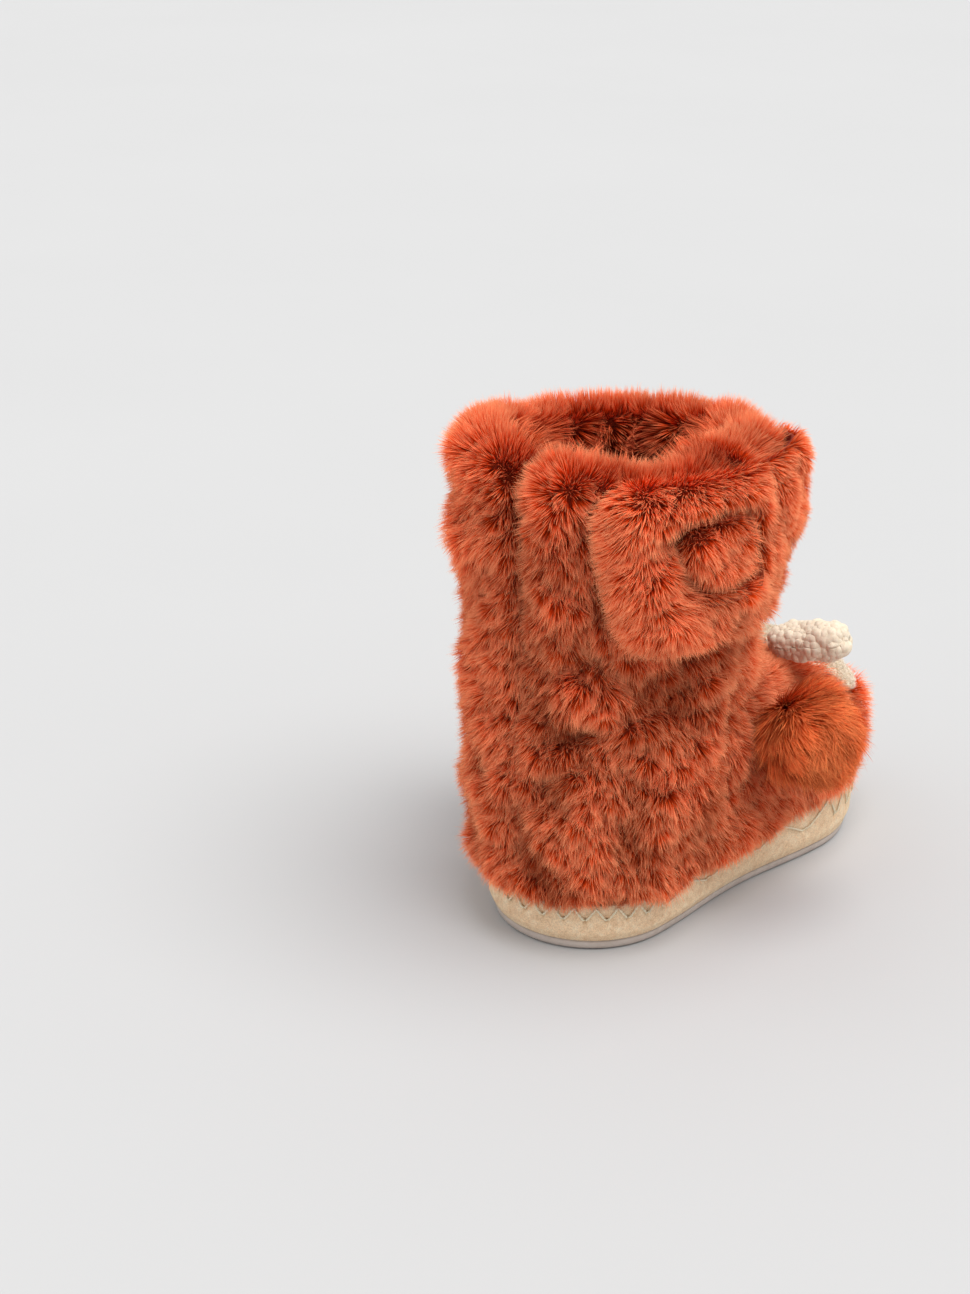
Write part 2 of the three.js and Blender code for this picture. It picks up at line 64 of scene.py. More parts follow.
# Outlines of the form from the bottom up, as the part's source has them: height, back, front, heel
# radius and toe radius.
STATIONS = np.array([
    [12, 74, -73, 32, 36.5],
    [20, 78, -78, 35.5, 38.5],
    [32, 79, -77.5, 37.5, 38],
    [44, 79.5, -72, 39, 34],
    [53, 79.5, -62, 40, 28],
    [59, 79, -48, 40.5, 23],
    [64, 78.5, -33, 41, 27],
    [72, 78, -20, 41, 30],
    [85, 77.5, -10, 41, 36],
    [105, 78, -11, 42, 40],
    [128.5, 79.5, -13.5, 44, 44],
    [156.5, 81.5, -13.5, 45, 45],
])
SOLE_LENGTH = 145
SOLE_RADII = (30, 36.5)
WAIST_PINCH = 2.5

# A turn runs from 0 at the heel's centre through 0.5 at the toe's to 1. These are the shares of a turn that
# the heel's arc and each side take up on one half, and where the side seams lie.
HEEL_ARC = 0.2
SIDE = 0.1
SIDE_SEAM = 0.2276

ANKLE_SEAM = 68
HEM_HEIGHT = 15.5
HEM_RISE = 5.5
RIM_HEIGHT = 146.5
RIM_TILT = 4
RIM_TOP_TURN = 0.14

# Depths below the form: the inner faces of the two linings, and the middle of the rolled rim.
FOOT_INSIDE = 10.95
SHAFT_INSIDE = 18.95
RIM_MIDDLE = 9.75

# The shell rolls over the rim through this angle, and the lining meets it there.
RIM_TURN = math.radians(135)
RIM_ROLL_UP = 6
RIM_ROLL_START = 5


def smooth(low, high, value):
    """0 below low, 1 above high, and a smooth step between them."""
    share = np.clip((value - low) / (high - low), 0, 1)
    return share * share * (3 - 2 * share)


def bump(value, width):
    """A bell of height 1 about 0."""
    return np.exp(-((value / width) ** 2))


def outline(level):
    """The form's row at a level from 0 to 1, on a uniform Catmull-Rom spline through the stations."""
    last = len(STATIONS) - 1
    along = np.clip(level, 0, 1) * last
    index = np.minimum(np.floor(along).astype(int), last - 1)
    t = (along - index)[..., None]
    padded_rows = np.vstack([2 * STATIONS[0] - STATIONS[1], STATIONS, 2 * STATIONS[-1] - STATIONS[-2]])
    a, b, c, d = (padded_rows[index + step] for step in range(4))
    return 0.5 * (2 * b + (c - a) * t + (2 * a - 5 * b + 4 * c - d) * t**2 + (3 * b - a - 3 * c + d) * t**3)


def egg(turn, back, front, back_radius, front_radius, pinch=0.0):
    """The point of an egg outline at a turn, and its outward direction, as x, y, nx, ny."""
    whole = turn - np.floor(turn)
    side = np.where(whole > 0.5, 1.0, -1.0)
    half = np.where(whole > 0.5, 1 - whole, whole)
    back_centre, front_centre = back - back_radius, front + front_radius
    tangent = np.arccos((front_radius - back_radius) / (back_centre - front_centre))
    along = np.clip((half - HEEL_ARC) / SIDE, 0, 1)
    toe_arc = 0.5 - HEEL_ARC - SIDE
    angle = np.where(half < HEEL_ARC, tangent * half / HEEL_ARC, tangent)
    angle = np.where(half > 0.5 - toe_arc,
                     tangent + (np.pi - tangent) * (half - 0.5 + toe_arc) / toe_arc, angle)
    radius = back_radius + (front_radius - back_radius) * along - pinch * np.sin(np.pi * along) ** 2
    centre = back_centre + (front_centre - back_centre) * along
    nx, ny = side * np.sin(angle), np.cos(angle)
    return nx * radius, centre + ny * radius, nx, ny


def form_point(turn, level):
    """The form's surface at a turn and a level."""
    turn, level = np.broadcast_arrays(turn, level)
    row = outline(level)
    x, y, _, _ = egg(turn, row[..., 1], row[..., 2], row[..., 3], row[..., 4])
    return np.stack([x, y, row[..., 0]], -1)


def unit(vectors):
    return vectors / np.maximum(np.linalg.norm(vectors, axis=-1, keepdims=True), 1e-9)


NORMAL_TURN = 0.02
NORMAL_LEVEL = 0.07


def form_normal(turn, level):
    """The form's outward direction, evened out over its neighbourhood."""
    around = form_point(turn + NORMAL_TURN, level) - form_point(turn - NORMAL_TURN, level)
    above = form_point(turn, np.minimum(level + NORMAL_LEVEL, 1))
    below = form_point(turn, np.maximum(level - NORMAL_LEVEL, 0))
    return unit(np.cross(around, above - below))


LEVELS = np.linspace(0, 1, 2001)
HEIGHTS = outline(LEVELS)[:, 0]


def level_at(height):
    return np.interp(height, HEIGHTS, LEVELS)


def on_form(turn, height, depth):
    """Points at turns, heights and depths outside (+) or inside (-) the form."""
    turn, height, depth = np.broadcast_arrays(turn, height, depth)
    level = level_at(height)
    return form_point(turn, level) + form_normal(turn, level) * depth[..., None]


TURN_STEP = 0.002


def per_turn(turn, height):
    """Millimetres along the form for each turn at a place."""
    level = level_at(height)
    chord = form_point(turn + TURN_STEP, level) - form_point(turn - TURN_STEP, level)
    return np.linalg.norm(chord, axis=-1) / (2 * TURN_STEP)


def sole_point(turn, inset=0.0):
    """A point of the sole's outline, moved in by an inset."""
    half = SOLE_LENGTH / 2
    x, y, nx, ny = egg(turn, half, -half, *SOLE_RADII, WAIST_PINCH)
    return x - nx * inset, y - ny * inset


def hem_height(y):
    """The fur's lower edge rises towards the toe."""
    return HEM_HEIGHT + HEM_RISE * smooth(-10, 60, -y)


def signed_turn(turn):
    """A turn from the heel's centre, positive on the lateral side and negative on the medial one."""
    return (turn + 0.5) % 1 - 0.5


def rim_height(turn):
    """The rim dips at the centre-back seam and under the strap, and stands higher between them."""
    signed = signed_turn(turn)
    dips = 5.5 * bump(signed, 0.022) + 6 * bump(signed - 0.13, 0.075) - 3 * bump(signed + 0.1, 0.07)
    return RIM_HEIGHT + RIM_TILT * np.cos(2 * np.pi * (turn - RIM_TOP_TURN)) - dips


def waves(points, wavelength, seed, count=16):
    """Smooth random values of about unit size at points, from a sum of plane waves."""
    dice = np.random.default_rng(seed)
    direction = unit(dice.normal(size=(count, 3))) * dice.uniform(0.7, 1.4, (count, 1))
    phase = dice.uniform(0, 2 * np.pi, count)
    return np.sin(points @ direction.T * (2 * np.pi / wavelength) + phase).sum(-1) / math.sqrt(count / 2)


# ---------------------------------------------------------------- meshes

def make_mesh(name, vertices, faces, uv=None, smooth_faces=True):
    """A mesh object from vertices in millimetres and triangles or quads. uv has a pair for each vertex."""
    faces = np.asarray(faces, np.int32)
    sides = faces.shape[1]
    mesh = bpy.data.meshes.new(name)
    mesh.vertices.add(len(vertices))
    mesh.vertices.foreach_set("co", (np.asarray(vertices) * MM).astype(np.float32).ravel())
    mesh.loops.add(faces.size)
    mesh.loops.foreach_set("vertex_index", faces.ravel())
    mesh.polygons.add(len(faces))
    mesh.polygons.foreach_set("loop_start", np.arange(0, faces.size, sides, dtype=np.int32))
    mesh.polygons.foreach_set("use_smooth", np.full(len(faces), smooth_faces))
    mesh.update(calc_edges=True)
    if uv is not None:
        layer = mesh.uv_layers.new(name=UV_NAME)
        layer.data.foreach_set("uv", np.asarray(uv, np.float32)[faces.ravel()].ravel())
    mesh.validate()
    obj = bpy.data.objects.new(name, mesh)
    bpy.context.scene.collection.objects.link(obj)
    return obj


def settle(obj, node, material):
    """Gives a piece its material, and sets it in place of its CAD node, on that node's body."""
    obj.data.materials.append(material)
    body = next(body for body, nodes in BODIES.items() if node in nodes)
    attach(obj, body)
    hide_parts(node)
    return obj


class Skin:
    """A grid of points, rows by columns, that becomes a mesh and that pile grows from.

    Each place on it also has a length, a tone and a density for its pile, and a nap: the way that the pile
    leans, and by how much.
    """

    def __init__(self, points, inward=False):
        self.points = points
        across, up = np.gradient(points, axis=1), np.gradient(points, axis=0)
        self.normals = unit(np.cross(across, up)) * (-1 if inward else 1)
        self.inward = inward
        self.nap = -unit(up)
        shape = points.shape[:2]
        self.length = np.ones(shape)
        self.tone = np.full(shape, 0.5)
        self.density = np.ones(shape)
        self.lean = np.ones(shape)

    def cell_areas(self):
        """The area of each cell of the grid, in square millimetres."""
        p = self.points
        one = np.cross(p[1:, :-1] - p[:-1, :-1], p[:-1, 1:] - p[:-1, :-1])
        two = np.cross(p[1:, :-1] - p[1:, 1:], p[:-1, 1:] - p[1:, 1:])
        return (np.linalg.norm(one, axis=-1) + np.linalg.norm(two, axis=-1)) / 2

    def scatter(self, per_square_mm, dice):
        """Rows and columns, with fractions, of random places, so many to a square millimetre."""
        weight = self.cell_areas() * (self.density[1:, 1:] + self.density[:-1, :-1]) / 2
        total = np.cumsum(weight.ravel())
        cell = np.searchsorted(total, dice.random(int(total[-1] * per_square_mm)) * total[-1])
        row, column = np.divmod(cell, weight.shape[1])
        return row + dice.random(len(cell)), column + dice.random(len(cell))

    def at(self, field, row, column):
        """A field's values at places between its points."""
        r, c = np.floor(row).astype(int), np.floor(column).astype(int)
        fr, fc = row - r, column - c
        if field.ndim > 2:
            fr, fc = fr[:, None], fc[:, None]
        low = field[r, c] * (1 - fc) + field[r, c + 1] * fc
        high = field[r + 1, c] * (1 - fc) + field[r + 1, c + 1] * fc
        return low * (1 - fr) + high * fr

    def shell(self, name, thickness):
        """A closed mesh of the skin, thickened behind its face."""
        return slab_mesh(name, self.points, self.points - self.normals * thickness, self.inward)


def grid_faces(rows, columns, flip):
    """The quads between the points of a grid."""
    corner = (np.arange(rows - 1)[:, None] * columns + np.arange(columns - 1)).ravel()
    quads = np.stack([corner, corner + 1, corner + columns + 1, corner + columns], 1)
    return quads[:, ::-1] if flip else quads


def slab_mesh(name, face, back, flip=False):
    """A closed slab between two grids of the same shape, with its UV map: the face left, the back right."""
    rows, columns = face.shape[:2]
    count = rows * columns
    ring = np.concatenate([
        np.arange(columns), np.arange(1, rows) * columns + columns - 1,
        (rows - 1) * columns + np.arange(columns - 2, -1, -1), np.arange(rows - 2, 0, -1) * columns])
    after = np.roll(ring, -1)
    rim = np.stack([ring, ring + count, after + count, after], 1)
    if flip:
        rim = rim[:, ::-1]
    faces = np.vstack([grid_faces(rows, columns, flip), grid_faces(rows, columns, not flip) + count, rim])
    v, u = np.meshgrid(np.linspace(0.01, 0.99, rows), np.linspace(0.01, 0.49, columns), indexing="ij")
    uv = np.vstack([np.stack([u.ravel(), v.ravel()], 1), np.stack([u.ravel() + 0.5, v.ravel()], 1)])
    return make_mesh(name, np.vstack([face.reshape(-1, 3), back.reshape(-1, 3)]), faces, uv)


CLUMP_IDS = 100003


def nearest_clump(place, size, seed):
    """Index and centre of the clump that each place on a plane belongs to, from a jittered grid.

    The large primes only mix a cell's place and the seed into an even spread of numbers.
    """
    cell = np.floor(place / size).astype(np.int64)
    best = np.full(len(place), np.inf)
    centre = np.zeros_like(place)
    owner = np.zeros(len(place), np.int64)
    for i in (-1, 0, 1):
        for j in (-1, 0, 1):
            near = cell + (i, j)
            code = (near[:, 0] * 73856093) ^ (near[:, 1] * 19349663) ^ (seed * 83492791)
            jitter = np.stack([(code * 2654435761 % 9973) / 9973, (code * 40503 % 9967) / 9967], 1)
            spot = (near + jitter) * size
            gap = np.linalg.norm(spot - place, axis=1)
            closer = gap < best
            best = np.where(closer, gap, best)
            centre[closer] = spot[closer]
            owner[closer] = code[closer]
    return owner % CLUMP_IDS, centre


# How much each blade, its tuft and the swirls of the whole pile add to the way that a blade leans.
BLADE_SWAY, CLUMP_SWAY, SWIRL_SWAY = 0.55, 0.5, 0.6
SWIRL_WAVELENGTH = 14

# How much a blade and its tuft differ from the rest in length and in tone.
BLADE_LENGTH, CLUMP_LENGTH = 0.16, 0.08
BLADE_TONE, CLUMP_TONE = 0.12, 0.07
FACING_SPREAD = 0.45
CURL_TURN = 9.0

# The tone is a little darker at one edge of a blade and lighter at the other.
EDGE_TONE = 0.008


def pile_roots(skin, per_square_mm, dice):
    """The rows, columns, places and axes of the blades that grow from a skin."""
    row, column = skin.scatter(per_square_mm, dice)
    start = skin.at(skin.points, row, column)
    normal = unit(skin.at(skin.normals, row, column))
    nap = skin.at(skin.nap, row, column)
    nap = unit(nap - normal * (nap * normal).sum(1, keepdims=True))
    return row, column, start, normal, nap


def clumping(skin, row, column, clump, seed):
    """Four random numbers of each blade's clump, and the way from the blade to the clump's centre."""
    cell_side = np.sqrt(skin.cell_areas().mean())
    owner, centre = nearest_clump(np.stack([row, column], 1) * cell_side, clump, seed)
    numbers = np.random.default_rng(seed + 1).normal(size=(CLUMP_IDS, 4))[owner]
    to_centre = centre / cell_side - np.stack([row, column], 1)
    down_row = skin.at(np.gradient(skin.points, axis=0), row, column)
    down_column = skin.at(np.gradient(skin.points, axis=1), row, column)
    return numbers, down_row * to_centre[:, :1] + down_column * to_centre[:, 1:]


def ribbon_faces(count, sections):
    """The triangles of tapered ribbons that each have two vertices to a section and one at the tip."""
    pattern = []
    for k in range(sections - 1):
        pattern += [[2 * k, 2 * k + 1, 2 * k + 3], [2 * k, 2 * k + 3, 2 * k + 2]]
    pattern.append([2 * sections - 2, 2 * sections - 1, 2 * sections])
    each = 2 * sections + 1
    return (np.arange(count)[:, None, None] * each + np.array(pattern)).reshape(-1, 3)


def pile(name, skin, per_square_mm, length, width, seed, root, tip, clump, pull, mess, sections=2, curl=0.0):
    """Blades growing from a skin, as one mesh object.

    root and tip say how far they lean with the nap there, as a slope. clump is the width of a tuft, pull how
    far its blades gather, mess how unevenly they lie, and curl how widely they wind. Lengths are in
    millimetres.
    """
    dice = np.random.default_rng(seed)
    row, column, start, normal, nap = pile_roots(skin, per_square_mm, dice)
    count = len(row)
    clump_dice, gather = clumping(skin, row, column, clump, seed)

    swirl = np.stack([waves(start, SWIRL_WAVELENGTH, seed + 2), waves(start, SWIRL_WAVELENGTH, seed + 3)], 1)
    sway = BLADE_SWAY * dice.normal(size=(count, 2)) + CLUMP_SWAY * clump_dice[:, :2] + SWIRL_SWAY * swirl
    sway = mess * sway
    lying = nap * (1 + sway[:, :1] * 0.6) + np.cross(normal, nap) * sway[:, 1:]
    lying = lying * skin.at(skin.lean, row, column)[:, None]
    first = unit(normal + lying * root)
    last = unit(normal + lying * tip)
    spread = np.clip(dice.normal(size=count), -2, 1.5)
    size = length * skin.at(skin.length, row, column)
    size = size * (1 + BLADE_LENGTH * spread + CLUMP_LENGTH * clump_dice[:, 2])
    facing = unit(normal + FACING_SPREAD * dice.normal(size=(count, 3)))
    side = unit(np.cross(first + last, facing))
    other = np.cross(side, unit(first + last))
    wound = dice.uniform(0, 2 * np.pi, count)
    tone = skin.at(skin.tone, row, column) + BLADE_TONE * spread + CLUMP_TONE * clump_dice[:, 3]
    tone = np.clip(tone, 0.02, 0.98)

    vertices, uv = [], []
    for step in np.linspace(0, 1, sections + 1):
        middle = start + size[:, None] * (first * (step - step**2 / 2) + last * step**2 / 2)
        middle = middle + gather * (pull * step**1.4)
        if curl:
            angle = (wound + step * CURL_TURN)[:, None]
            middle = middle + curl * step**0.5 * (side * np.cos(angle) + other * np.sin(angle))
        half = side * (width / 2 * (1 - step**2))
        ends = ((-1, -EDGE_TONE), (1, EDGE_TONE)) if step < 1 else ((0, 0),)
        for sign, shift in ends:
            vertices.append(middle + sign * half)
            uv.append(np.stack([tone + shift, np.full(count, 0.02 + 0.96 * step)], 1))
    vertices = np.stack(vertices, 1).reshape(-1, 3)
    uv = np.stack(uv, 1).reshape(-1, 2)
    return make_mesh(name, vertices, ribbon_faces(count, sections), uv)


# ---------------------------------------------------------------- materials

def linear(red, green, blue):
    """An sRGB colour from 0 to 255 as linear RGBA."""
    share = np.array([red, green, blue]) / 255
    return tuple(np.where(share <= 0.04045, share / 12.92, ((share + 0.055) / 1.055) ** 2.4)) + (1.0,)


# A mix node has its sockets for numbers and vectors before those for colours.
MIX_COLOUR_A, MIX_COLOUR_B, MIX_COLOUR_OUT = 6, 7, 2


class Shader:
    """A procedural material, built node by node."""

    def __init__(self, name, roughness, specular, sheen=0.0, sheen_tint=(1, 1, 1, 1)):
        self.material = bpy.data.materials.new(name)
        self.material.use_nodes = True
        self.tree = self.material.node_tree
        self.surface = self.tree.nodes["Principled BSDF"]
        self.surface.inputs["Roughness"].default_value = roughness
        self.surface.inputs["Specular IOR Level"].default_value = specular
        self.surface.inputs["Sheen Weight"].default_value = sheen
        self.surface.inputs["Sheen Roughness"].default_value = 0.5
        self.surface.inputs["Sheen Tint"].default_value = sheen_tint

    def node(self, kind, **inputs):
        node = self.tree.nodes.new(kind)
        for key, value in inputs.items():
            self.set(node, key.replace("_", " "), value)
        return node

    def set(self, node, key, value):
        """Sets an input of a node to a value, or links it to a socket."""
        socket = node.inputs[key]
        if isinstance(value, bpy.types.NodeSocket):
            self.tree.links.new(value, socket)
        else:
            socket.default_value = value

    def ramp(self, factor, stops):
        """Colours at places from 0 to 1 along a factor."""
        node = self.tree.nodes.new("ShaderNodeValToRGB")
        elements = node.color_ramp.elements
        while len(elements) < len(stops):
            elements.new(0.5)
        for element, (place, colour) in zip(elements, stops):
            element.position = place
            element.color = colour
        self.tree.links.new(factor, node.inputs["Fac"])
        return node.outputs["Color"]

    def multiply(self, one, two):
        """The product of two colours."""
        node = self.tree.nodes.new("ShaderNodeMix")
        node.data_type = "RGBA"
        node.blend_type = "MULTIPLY"
        node.inputs["Factor"].default_value = 1.0
        self.tree.links.new(one, node.inputs[MIX_COLOUR_A])
        self.tree.links.new(two, node.inputs[MIX_COLOUR_B])
        return node.outputs[MIX_COLOUR_OUT]

    def noise(self, scale, detail=4.0, roughness=0.6):
        """A noise from 0 to 1, fixed to the piece. scale is in features to a metre."""
        place = self.tree.nodes.new("ShaderNodeTexCoord").outputs["Object"]
        return self.node("ShaderNodeTexNoise", Vector=place, Scale=scale, Detail=detail,
                         Roughness=roughness).outputs["Fac"]

    def colour(self, socket):
        """Sets the base colour."""
        self.tree.links.new(socket, self.surface.inputs["Base Color"])
        return self

    def relief(self, height, distance):
        """Sets a bump of so many metres."""
        bump_node = self.node("ShaderNodeBump", Height=height, Distance=distance, Strength=1.0)
        self.tree.links.new(bump_node.outputs["Normal"], self.surface.inputs["Normal"])
        return self


def grey(value):
    """A linear grey as RGBA."""
    return (value, value, value, 1.0)


def pile_material(name, root, middle, tip, dark, light):
    """Blades coloured from root to tip, and multiplied by a colour from dark to light by their tone.

    Both their place from root to tip and their tone come from their UV map.
    """
    shader = Shader(name, roughness=0.75, specular=0.06)
    uv = shader.tree.nodes.new("ShaderNodeUVMap")
    uv.uv_map = UV_NAME
    split = shader.node("ShaderNodeSeparateXYZ", Vector=uv.outputs["UV"])
    # The ramp's dark roots are partly painted shade deep in the pile, and its pale tips partly painted light
    # on the tips; the rest is the pile's own colour.
    along = shader.ramp(split.outputs["Y"], [(0.0, root), (0.45, middle), (0.95, tip)])
    tone = shader.ramp(split.outputs["X"], [(0.0, dark), (0.5, grey(1.0)), (1.0, light)])
    return shader.colour(shader.multiply(along, tone)).material


def plain_material(name, low, high, scale=900.0, roughness=0.9, bump_mm=0.2, specular=0.25):
    """A mottled, slightly rough finish between two colours. scale is in features to a metre."""
    shader = Shader(name, roughness=roughness, specular=specular)
    noise = shader.noise(scale)
    shader.colour(shader.ramp(noise, [(0.3, low), (0.7, high)]))
    return shader.relief(noise, bump_mm * MM).material


# The dark root is partly painted shade deep in the pile and the pale tip partly painted light on the tips;
# the rest is the plush's own rust.
RUST_ROOT = linear(128, 26, 4)
RUST_MIDDLE = linear(222, 77, 21)
RUST_TIP = linear(255, 178, 130)

# What the darkest and the brightest tone do to a colour.
RUST_DEEP = (0.58, 0.36, 0.26, 1.0)
RUST_BRIGHT = (1.35, 1.3, 1.25, 1.0)
CREAM_ROOT = linear(222, 204, 178)
CREAM_MIDDLE = linear(242, 228, 208)
CREAM_TIP = linear(252, 244, 230)

rust_pile = pile_material("rust_pile", RUST_ROOT, RUST_MIDDLE, RUST_TIP, RUST_DEEP, RUST_BRIGHT)
# The lining's pile is the rust pile darkened: painted shade inside the bootie.
lining_pile = pile_material("lining_pile", linear(90, 20, 4), linear(190, 66, 24), linear(244, 136, 92),
                            RUST_DEEP, RUST_BRIGHT)
yarn_pile = pile_material("yarn_pile", linear(120, 34, 6), linear(214, 92, 36), linear(248, 150, 92),
                          RUST_DEEP, RUST_BRIGHT)
fleece_pile = pile_material("fleece_pile", CREAM_ROOT, CREAM_MIDDLE, CREAM_TIP, grey(0.82), grey(1.06))
# The backing is darker than the pile, partly painted shade, so that the gaps between blades look deep.
backing = plain_material("plush_backing", linear(112, 30, 10), linear(146, 48, 18))
fleece_backing = plain_material("fleece_backing", linear(228, 211, 184), linear(246, 233, 212))


# ---------------------------------------------------------------- plush upper

# How far below the form the pile of the shell is rooted, and how thick the cloth under it is.
PILE_ROOT = 3.0
BACKING_THICKNESS = 2.6

# Creases across the lateral quarter: height, depth, and how steeply each runs.
CREASES = ((99, 2.4, 0.6), (88, 1.6, -0.4), (77, 3.2, 0.4), (57, 2.4, -0.5), (38, 1.6, 0.3))
CREASE_WIDTH = 1.7

# Upright folds beside the lateral side seam: turn, depth and width.
FOLDS = ((0.192, 1.8, 1.6), (0.212, 1.8, 1.6))


def lateral_share(signed, start, end):
    """1 on the lateral quarter, down to 0 at the start and the end that it is given."""
    return smooth(start, 0.03, signed) * (1 - smooth(0.21, end, signed))


def seam_relief(signed, speed, height):
    """The back seam, which deepens towards the rim between two lobes, the side seams and the ankle seam."""
    from_back = signed * speed
    high = smooth(90, 135, height)
    back = -(1.3 + 4.7 * high) * bump(from_back, 3.2) - 2.0 * high * bump(from_back, 8)
    lobes = 1.6 * high * bump(abs(from_back) - 16, 9)
    from_side = np.minimum(abs(signed - SIDE_SEAM), abs(signed + SIDE_SEAM)) * speed
    in_front = (abs(signed) > SIDE_SEAM).astype(float)
    return back + lobes - 2.0 * bump(from_side, 2.0) - 2.2 * bump(height - ANKLE_SEAM, 2.4) * in_front


def crease_relief(signed, speed, height, places):
    """The creases and folds of the lateral quarter."""
    relief = 0
    for middle, depth, slope in CREASES:
        wavy = middle + 2.0 * waves(places, 38, middle) + slope * (signed - 0.12) * 60
        broken = smooth(-0.5, 0.6, waves(places, 30, middle + 1))
        relief = relief - depth * bump(height - wavy, CREASE_WIDTH) * broken
    below_strap = smooth(35, 50, height) * smooth(-102, -88, -height)
    for turn, depth, width in FOLDS:
        relief = relief - depth * bump((signed - turn) * speed, width) * below_strap
    return relief


def seams_and_folds(turn, height):
    """How far the backing of the upper stands out at places, from its seams, creases and soft lumps."""
    speed = per_turn(turn, height)
    signed = signed_turn(turn)
    places = form_point(turn, level_at(height))
    creases = lateral_share(signed, 0.005, 0.235) * crease_relief(signed, speed, height, places)
    lumps = 0.9 * waves(places, 24, 5) + 0.4 * waves(places, 9, 6) + 0.3 * waves(places, 4.5, 7)
    toe = smooth(30, 60, -places[..., 1]) * 1.1 * waves(places, 17, 8)
    return seam_relief(signed, speed, height) + creases + lumps + toe


def outer_skin(low_turn, high_turn, hemmed, rimmed):
    """The outside of a panel: from its hem or the ankle seam, up to the ankle seam or over the rim."""
    columns = int((high_turn - low_turn) * 420)
    turn = np.linspace(low_turn, high_turn, columns)[None, :]
    y = form_point(turn, level_at(HEM_HEIGHT))[..., 1]
    bottom = hem_height(y) + 0.4 if hemmed else np.full_like(turn, ANKLE_SEAM + 0.3)
    top = rim_height(turn) - RIM_ROLL_START if rimmed else np.full_like(turn, ANKLE_SEAM - 0.3)
    rows = int((top - bottom).max() / 1.1)
    height = bottom + (top - bottom) * np.linspace(0, 1, rows)[:, None]
    depth = np.full(height.shape, -PILE_ROOT) - (2.5 * (1 - smooth(0, 6, height - bottom)) if hemmed else 0)
    if rimmed:
        angle = np.linspace(0, RIM_TURN, 15)[1:, None]
        arc = -RIM_MIDDLE + (RIM_MIDDLE - PILE_ROOT) * np.cos(angle)
        height = np.vstack([height, top + RIM_ROLL_UP * np.sin(angle)])
        depth = np.vstack([depth, np.broadcast_to(arc, (len(angle), columns))])
    turns = np.broadcast_to(turn, height.shape)
    relief = seams_and_folds(turns, height)
    skin = Skin(on_form(turns, height, depth + relief))
    lateral = lateral_share(signed_turn(turns), 0.0, 0.24)
    patches = 0.1 * waves(skin.points, 19, 11) * (0.4 + 0.6 * lateral)
    specks = 0.1 * waves(skin.points, 5, 12) * (0.3 + 0.7 * lateral)
    # 0.08 * relief is painted shade: darker in the seams, creases and hollows, and lighter on the bulges.
    # The last term is painted light: the pile is lighter towards the rim, where light falls on the shaft's
    # top.
    skin.tone = 0.56 + 0.08 * relief - 0.12 * lateral + patches + specks + 0.1 * smooth(125, 150, height)
    skin.length = np.clip(1.0 + 0.06 * relief, 0.5, 1.2)
    if rimmed:
        skin.lean = upright_at_rim(height - top, 14)
    return skin


def upright_at_rim(above, reach):
    """How much pile leans, so many millimetres above where the rim's roll starts. It stands at the rim."""
    return 1 - 0.85 * smooth(-reach, -2, above)


PATCH_BOX = [np.array(corner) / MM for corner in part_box("face_patch")]
PATCH_EDGE = 3.0


def under_face_patch(points):
    """1 at points that the fleece face patch covers, and 0 beyond its edge."""
    middle = (PATCH_BOX[0] + PATCH_BOX[1]) / 2
    half = (PATCH_BOX[1] - PATCH_BOX[0]) / 2 - PATCH_EDGE
    away = np.sqrt((((points - middle) / half)[..., :2] ** 2).sum(-1))
    return (1 - smooth(0.95, 1.0, away)) * (points[..., 2] > PATCH_BOX[0][2] + PATCH_EDGE)


# Blades to a square millimetre.
DENSITY = 9.0


def plush_panel(node, low_turn, high_turn, hemmed, rimmed, seed, bare=None):
    """A panel of the upper. bare says where no pile grows, as a share, from the skin's points."""
    skin = outer_skin(low_turn, high_turn, hemmed, rimmed)
    if bare:
        skin.density = 1 - bare(skin.points)
    settle(skin.shell(f"{node}_backing", BACKING_THICKNESS), node, backing)
    fur = pile(f"{node}_pile", skin, DENSITY, 5.2, 0.2, seed, root=0.25, tip=0.85, clump=1.3, pull=0.22,
               mess=0.5)
    settle(fur, node, rust_pile)


SEAM_GAP = 0.001
SIDE_START, SIDE_END = SIDE_SEAM - SEAM_GAP, 1 - SIDE_SEAM + SEAM_GAP
FRONT_START, FRONT_END = SIDE_SEAM + SEAM_GAP, 1 - SIDE_SEAM - SEAM_GAP

plush_panel("quarter_lateral", 0.0008, SIDE_START, True, True, 21)
plush_panel("quarter_medial", SIDE_END, 0.9992, True, True, 22)
plush_panel("vamp", FRONT_START, FRONT_END, True, False, 23, bare=under_face_patch)
plush_panel("shaft_front", FRONT_START, FRONT_END, False, True, 24)


# ---------------------------------------------------------------- linings

# How far inside the lining's own face its pile is rooted.
LINING_ROOT = 3.0


